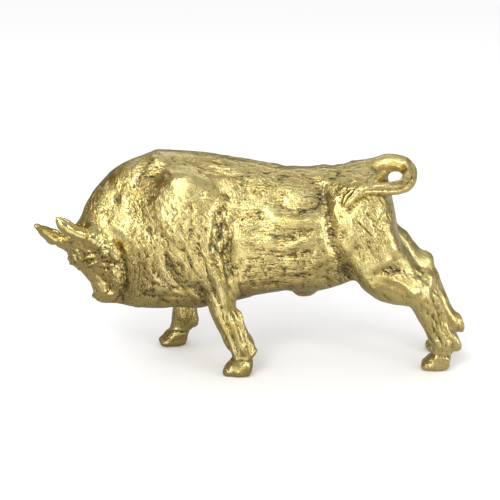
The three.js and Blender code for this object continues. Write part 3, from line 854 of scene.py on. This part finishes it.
def add(tree, kind, settings=None, **links):
    """Adds a shader node. Settings are its own properties; each named input gets a value, or a
    link from another node's output. An underscore stands for a space, or before an input's number."""
    node = tree.nodes.new(kind)
    for name, value in (settings or {}).items():
        setattr(node, name, value)
    for name, value in links.items():
        socket = node.inputs[int(name[1:])] if name[0] == "_" else node.inputs[name.replace("_", " ")]
        if isinstance(value, bpy.types.NodeSocket):
            tree.links.new(value, socket)
        else:
            socket.default_value = value
    return node


def maths(tree, operation, a, b=0.0):
    """A math node's value."""
    return add(tree, "ShaderNodeMath", {"operation": operation}, _0=a, _1=b).outputs[0]


def weighted(tree, *terms):
    """The sum of values, each times its weight."""
    total = 0.0
    for value, weight in terms:
        total = add(tree, "ShaderNodeMath", {"operation": "MULTIPLY_ADD"},
                    _0=value, _1=weight, _2=total).outputs[0]
    return total


def ranged(tree, value, low, high, to_low=0.0, to_high=1.0):
    """A value carried smoothly from one range to another."""
    node = add(tree, "ShaderNodeMapRange", {"interpolation_type": "SMOOTHSTEP"},
               Value=value, From_Min=low, From_Max=high, To_Min=to_low, To_Max=to_high)
    return node.outputs[0]


def mixed(tree, share, first, second):
    """Two colours mixed by a share."""
    node = add(tree, "ShaderNodeMix", {"data_type": "RGBA"}, _0=share, _6=first, _7=second)
    return node.outputs[2]


# How strong the finer detail of streaks is
STREAK_ROUGHNESS = 0.6


def streaks_group():
    """The group that bronze, floor and room share: noise from -0.5 to 0.5, on coordinates that are
    turned about Y and then stretched. Count is how many streaks go in one unit of length."""
    group = bpy.data.node_groups.new("streaks", "ShaderNodeTree")
    for name, kind in (("Place", "Vector"), ("Turn", "Float"), ("Stretch", "Vector"),
                       ("Count", "Float"), ("Detail", "Float")):
        group.interface.new_socket(name, in_out="INPUT", socket_type="NodeSocket" + kind)
    group.interface.new_socket("Streaks", in_out="OUTPUT", socket_type="NodeSocketFloat")
    given = add(group, "NodeGroupInput").outputs
    turn = add(group, "ShaderNodeCombineXYZ", {}, Y=given["Turn"])
    turned = add(group, "ShaderNodeMapping", {}, Vector=given["Place"], Rotation=turn.outputs[0])
    drawn = add(group, "ShaderNodeMapping", {}, Vector=turned.outputs[0], Scale=given["Stretch"])
    node = add(group, "ShaderNodeTexNoise", {}, Vector=drawn.outputs[0], Scale=given["Count"],
               Detail=given["Detail"], Roughness=STREAK_ROUGHNESS)
    add(group, "NodeGroupOutput", {}, Streaks=maths(group, "SUBTRACT", node.outputs[0], 0.5))
    return group


STREAKS = streaks_group()
EVEN = (1, 1, 1)


def streaks(tree, where, stretch, count, detail, turn=0.0):
    """The streaks group placed in a material with its own values."""
    node = add(tree, "ShaderNodeGroup", {"node_tree": STREAKS}, Place=where, Turn=turn,
               Stretch=stretch, Count=count, Detail=detail)
    return node.outputs["Streaks"]


def combed_streaks(tree, where, weights, stretch, count, detail):
    """Streaks drawn out along the back, on a slant or downwards, mixed by the weights."""
    along = streaks(tree, where, (stretch, 1, 1), count, detail)
    slanting = streaks(tree, where, (1, 1, stretch), count, detail, SLANT)
    down = streaks(tree, where, (1, 1, stretch), count, detail)
    return weighted(tree, (along, weights[0]), (slanting, weights[1]), (down, weights[2]))


# The bronze from bright to dark, and over what darkness each colour takes over from the one before
POLISHED = (0.80, 0.675, 0.29, 1)
WARM = (0.67, 0.505, 0.15, 1)
OLIVE = (0.29, 0.235, 0.085, 1)
PATINA = (0.075, 0.06, 0.035, 1)
WARM_OVER = (-0.1, 0.3)
OLIVE_OVER = (0.20, 0.46)
PATINA_OVER = (0.44, 0.74)

# Marks of the finish: how many go in a metre, how fine their detail is, and for some of them the
# share of that number along their length
HAIR_MARKS = (900, 3)
SCRATCH_MARKS = (560, 1.5)
SPECK_MARKS = (1000, 2)
GRAIN_MARKS = (1900, 2)
CLOUD_MARKS = (110, 4)
SCRATCHED_PLACES = (55, 2)
WARM_PLACES = (38, 2)
HAIR_STRETCH = 0.22
SCRATCH_STRETCH = 0.2
WARM_STRETCH = (1, 1, 1.4)

# How much each mark darkens the bronze and lifts the surface, and what a lift of 1 is in mm
DARKENS = {"cloud": 0.5, "hair": -1.9, "speck": -1.7, "grain": -0.6, "scratch": 0.85}
LIFTS = {"hair": 1.1, "speck": 0.6, "grain": 0.3, "cloud": 1.0, "scratch": -0.6}
BUMP_DEPTH = 0.36

# Scratches lie where the broad noise is nearer to zero than this, and more of them where shade is
# painted
SCRATCH_WIDTH = 0.03
SCRATCH_SHADE = 1.2
SCRATCH_OVER = (-0.08, 0.12)

# The shares of the marks that the polished horns and the places of painted highlight keep
HORN_MARKS = 0.12
HIGHLIGHT_MARKS = 0.85
HIGHLIGHT_OVER = (-0.2, 0.0)

# The warm tint: over which part of its noise it comes in, and how strong it gets
TINT_OVER = (0.0, 0.16)
TINT_SHARE = 0.4

# Roughness from the brightest to the darkest bronze, what the places of painted highlight add to it,
# and the clear lacquer over it all
DARKNESS = (-0.1, 0.6)
ROUGHNESS = (0.16, 0.45)
HIGHLIGHT_ROUGHNESS_OVER = (-0.1, -0.3)
HIGHLIGHT_ROUGHNESS = 0.1
LACQUER = 0.6
LACQUER_ROUGHNESS = 0.1


def gilt_bronze():
    """Yellow bronze, lighter with painted highlights and darker with painted shade in creases and low
    places, olive and then nearly black in the hollows, with combed hair strokes, long thin scratches
    and a fine cast grain."""
    material = bpy.data.materials.new("gilt_bronze")
    material.use_nodes = True
    tree = material.node_tree
    shader = tree.nodes["Principled BSDF"]
    where = add(tree, "ShaderNodeTexCoord").outputs["Object"]
    hollow = add(tree, "ShaderNodeAttribute", {"attribute_name": "hollow"}).outputs["Fac"]
    # painted shade where above zero, painted highlight where below it
    shade_and_highlight = add(tree, "ShaderNodeAttribute", {"attribute_name": "shade_and_highlight"}).outputs["Fac"]
    polish = add(tree, "ShaderNodeAttribute", {"attribute_name": "polish"}).outputs["Fac"]
    comb = add(tree, "ShaderNodeAttribute", {"attribute_name": "comb"}).outputs["Vector"]
    weights = add(tree, "ShaderNodeSeparateXYZ", {}, Vector=comb).outputs
    marked = maths(tree, "MULTIPLY", ranged(tree, polish, 0, 1, 1.0, HORN_MARKS),
                   ranged(tree, shade_and_highlight, *HIGHLIGHT_OVER, HIGHLIGHT_MARKS, 1.0))

    # scratches: where broad streaks pass through zero, in some places only
    broad = combed_streaks(tree, where, weights, SCRATCH_STRETCH, *SCRATCH_MARKS)
    scratch = ranged(tree, maths(tree, "ABSOLUTE", broad), 0.0, SCRATCH_WIDTH, 1.0, 0.0)
    scratched = weighted(tree, (streaks(tree, where, EVEN, *SCRATCHED_PLACES), 1.0),
                         (shade_and_highlight, SCRATCH_SHADE), (ranged(tree, polish, 0.0, 1.0), -1.0))
    marks = {
        "hair": combed_streaks(tree, where, weights, HAIR_STRETCH, *HAIR_MARKS),
        "cloud": streaks(tree, where, EVEN, *CLOUD_MARKS),
        "speck": streaks(tree, where, EVEN, *SPECK_MARKS),
        "grain": streaks(tree, where, EVEN, *GRAIN_MARKS),
        "scratch": maths(tree, "MULTIPLY", scratch, ranged(tree, scratched, *SCRATCH_OVER)),
    }

    # how dark: the hollows' patina, the painted shade and the painted highlight, broken up by the marks
    dark = weighted(tree, (hollow, 1.0), (shade_and_highlight, 1.0),
                    *[(marks[name], share) for name, share in DARKENS.items()])
    dark = maths(tree, "MULTIPLY", dark, marked)
    tint = ranged(tree, streaks(tree, where, WARM_STRETCH, *WARM_PLACES), *TINT_OVER, 0.0, TINT_SHARE)
    colour = mixed(tree, ranged(tree, dark, *WARM_OVER), POLISHED, WARM)
    colour = mixed(tree, tint, colour, WARM)
    colour = mixed(tree, ranged(tree, dark, *OLIVE_OVER), colour, OLIVE)
    colour = mixed(tree, ranged(tree, dark, *PATINA_OVER), colour, PATINA)
    tree.links.new(colour, shader.inputs["Base Color"])

    highlight_roughness = ranged(tree, shade_and_highlight, *HIGHLIGHT_ROUGHNESS_OVER, 0.0, HIGHLIGHT_ROUGHNESS)
    gloss = maths(tree, "ADD", ranged(tree, dark, *DARKNESS, *ROUGHNESS), highlight_roughness)
    tree.links.new(gloss, shader.inputs["Roughness"])
    shader.inputs["Metallic"].default_value = 1.0
    shader.inputs["Coat Weight"].default_value = LACQUER
    shader.inputs["Coat Roughness"].default_value = LACQUER_ROUGHNESS

    height = weighted(tree, *[(marks[name], share) for name, share in LIFTS.items()])
    height = maths(tree, "MULTIPLY", height, marked)
    bump = add(tree, "ShaderNodeBump", {}, Strength=1.0, Distance=BUMP_DEPTH * MM, Height=height)
    tree.links.new(bump.outputs[0], shader.inputs["Normal"])
    return material


# The floor in metres. In the metal it shows a painted reflection: painted shade, with a painted pool of
# light in front of the forelegs, patches of painted light further off, and a little painted light below
# the haunches
FLOOR_SIZE = 8
FLOOR_PALE = (0.93, 0.93, 0.93, 1)
FLOOR_SHADE_IN_METAL = (0.28, 0.255, 0.21, 1)
FLOOR_LIGHT_IN_METAL = (1.0, 0.98, 0.93, 1)
FLOOR_ROUGHNESS = 0.9
GLOW_MIDDLE = -0.02
GLOW_WIDTH = (0.09, 0.03)
GLOW_BEFORE = (-0.04, -0.09)
PATCHES_STRETCH = (1, 1.6, 1)
PATCHES = (11, 2)
PATCHES_GAIN = 4.0
PATCHES_OVER = (-0.5, 0.5)
PATCHES_SHARE = 0.6
PATCHES_BEFORE = (-0.10, -0.35)
HAUNCH_FROM = (0.03, 0.12)
HAUNCH_SHARE = 0.22


def pale_floor():
    """A pale dull floor; in the metal it shows painted shade with patches of painted light."""
    material = bpy.data.materials.new("pale_floor")
    material.use_nodes = True
    tree = material.node_tree
    shader = tree.nodes["Principled BSDF"]
    in_metal = add(tree, "ShaderNodeLightPath").outputs["Is Glossy Ray"]
    where = add(tree, "ShaderNodeTexCoord").outputs["Object"]
    spot = add(tree, "ShaderNodeSeparateXYZ", {}, Vector=where).outputs
    patches = maths(tree, "MULTIPLY", streaks(tree, where, PATCHES_STRETCH, *PATCHES), PATCHES_GAIN)
    aside = maths(tree, "ABSOLUTE", maths(tree, "SUBTRACT", spot["X"], GLOW_MIDDLE))
    glow = maths(tree, "MULTIPLY", ranged(tree, aside, *GLOW_WIDTH),
                 ranged(tree, spot["Y"], *GLOW_BEFORE))
    away = maths(tree, "MULTIPLY", ranged(tree, patches, *PATCHES_OVER, 0.0, PATCHES_SHARE),
                 ranged(tree, spot["Y"], *PATCHES_BEFORE))
    haunch = ranged(tree, spot["X"], *HAUNCH_FROM, 0.0, HAUNCH_SHARE)
    lit = maths(tree, "MAXIMUM", maths(tree, "MAXIMUM", glow, away), haunch)
    # in the metal the floor shows painted shade and painted light instead of its own colour
    colour = mixed(tree, in_metal, FLOOR_PALE, mixed(tree, lit, FLOOR_SHADE_IN_METAL, FLOOR_LIGHT_IN_METAL))
    tree.links.new(colour, shader.inputs["Base Color"])
    shader.inputs["Roughness"].default_value = FLOOR_ROUGHNESS
    shader.inputs["Specular IOR Level"].default_value = 0.0
    return material


# The room's lights: where each stands in metres, its width and height, and its power in watts
LIGHTS = {
    "key_light": ((-0.36, -0.85, 0.88), (0.42, 0.34), 3.8),
    "fill_light": ((0.3, -0.8, 0.95), (0.5, 0.3), 1.0),
    "side_light": ((0.85, -0.55, 0.22), (0.25, 0.4), 2.2),
    "rim_light": ((0.1, 0.75, 0.8), (1.2, 0.15), 1.2),
    "front_light": ((-0.36, -1.0, 0.25), (0.32, 0.3), 2.1),
}
LIT_PLACE = Vector((0, 0, 0.08))


def softbox(name, stand, size, power):
    """A rectangular studio light that faces the bull."""
    light = bpy.data.lights.new(name, "AREA")
    light.shape = "RECTANGLE"
    light.size, light.size_y = size
    light.energy = power
    lamp = bpy.data.objects.new(name, light)
    lamp.location = stand
    lamp.rotation_euler = (LIT_PLACE - Vector(stand)).to_track_quat("-Z", "Y").to_euler()
    bpy.context.scene.collection.objects.link(lamp)


# The room as the metal sees it: from low to high, its patches, and how dark it is behind the bull
# and ahead of it
ROOM_WHITE = (1, 1, 1, 1)
ROOM_LOW = (0.36, 0.345, 0.31, 1)
ROOM_HIGH = (0.70, 0.70, 0.68, 1)
ROOM_RISE = (0.0, 0.9)
ROOM_PATCH = (0.13, 0.12, 0.09, 1)
ROOM_PATCHES = (3.2, 2)
ROOM_PATCHES_GAIN = 4.0
ROOM_PATCHES_OVER = (-0.6, 0.6)
ROOM_PATCHES_SHARE = 0.75
BEHIND = (0.12, 0.10, 0.06, 1)
BEHIND_FROM = (0.0, 0.6)
BEHIND_UNDER = (0.8, 0.35)
BEHIND_SHARE = 0.6
AHEAD = (0.16, 0.12, 0.05, 1)
AHEAD_FROM = (-0.45, -0.7)
AHEAD_ABOVE = (0.1, 0.35)


def studio_room():
    """A white room for the camera and the floor; in the metal a darker one, brighter overhead and
    darkest behind the bull and ahead of it."""
    world = bpy.data.worlds.new("studio")
    world.use_nodes = True
    tree = world.node_tree
    way = add(tree, "ShaderNodeTexCoord").outputs["Generated"]
    patches = maths(tree, "MULTIPLY", streaks(tree, way, EVEN, *ROOM_PATCHES), ROOM_PATCHES_GAIN)
    way = add(tree, "ShaderNodeSeparateXYZ", {}, Vector=way).outputs
    dim = mixed(tree, ranged(tree, way["Z"], *ROOM_RISE), ROOM_LOW, ROOM_HIGH)
    patched = ranged(tree, patches, *ROOM_PATCHES_OVER, 0.0, ROOM_PATCHES_SHARE)
    dim = mixed(tree, patched, dim, ROOM_PATCH)
    behind = maths(tree, "MULTIPLY", ranged(tree, way["Y"], *BEHIND_FROM, 0.0, BEHIND_SHARE),
                   ranged(tree, way["Z"], *BEHIND_UNDER))
    dim = mixed(tree, behind, dim, BEHIND)
    ahead = maths(tree, "MULTIPLY", ranged(tree, way["X"], *AHEAD_FROM),
                  ranged(tree, way["Z"], *AHEAD_ABOVE))
    dim = mixed(tree, ahead, dim, AHEAD)
    in_metal = add(tree, "ShaderNodeLightPath").outputs["Is Glossy Ray"]
    colour = mixed(tree, in_metal, ROOM_WHITE, dim)
    tree.links.new(colour, tree.nodes["Background"].inputs["Color"])
    return world


def photo_camera():
    """A camera that sees the bull as the photograph does."""
    lens = bpy.data.cameras.new("camera")
    lens.sensor_width = SENSOR
    lens.lens = SENSOR * FOCAL / FRAME_PIXELS
    camera = bpy.data.objects.new("camera", lens)
    camera.location = Vector((AIM + CAMERA_DISTANCE * TO_CAMERA) * MM)
    camera.rotation_euler = Vector(-TO_CAMERA).to_track_quat("-Z", "Y").to_euler()
    bpy.context.scene.collection.objects.link(camera)
    return camera


casting = bull_casting(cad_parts["bull"])
casting.data.materials.clear()
casting.data.materials.append(gilt_bronze())
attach(casting, "root")
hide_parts("bull")

bpy.ops.mesh.primitive_plane_add(size=FLOOR_SIZE)
floor = bpy.context.object
floor.name = "floor"
floor.data.materials.append(pale_floor())

for name, (stand, size, power) in LIGHTS.items():
    softbox(name, stand, size, power)
bpy.context.scene.world = studio_room()
bpy.context.scene.camera = photo_camera()
bpy.context.scene.view_settings.view_transform = "Standard"

bpy.context.view_layer.update()
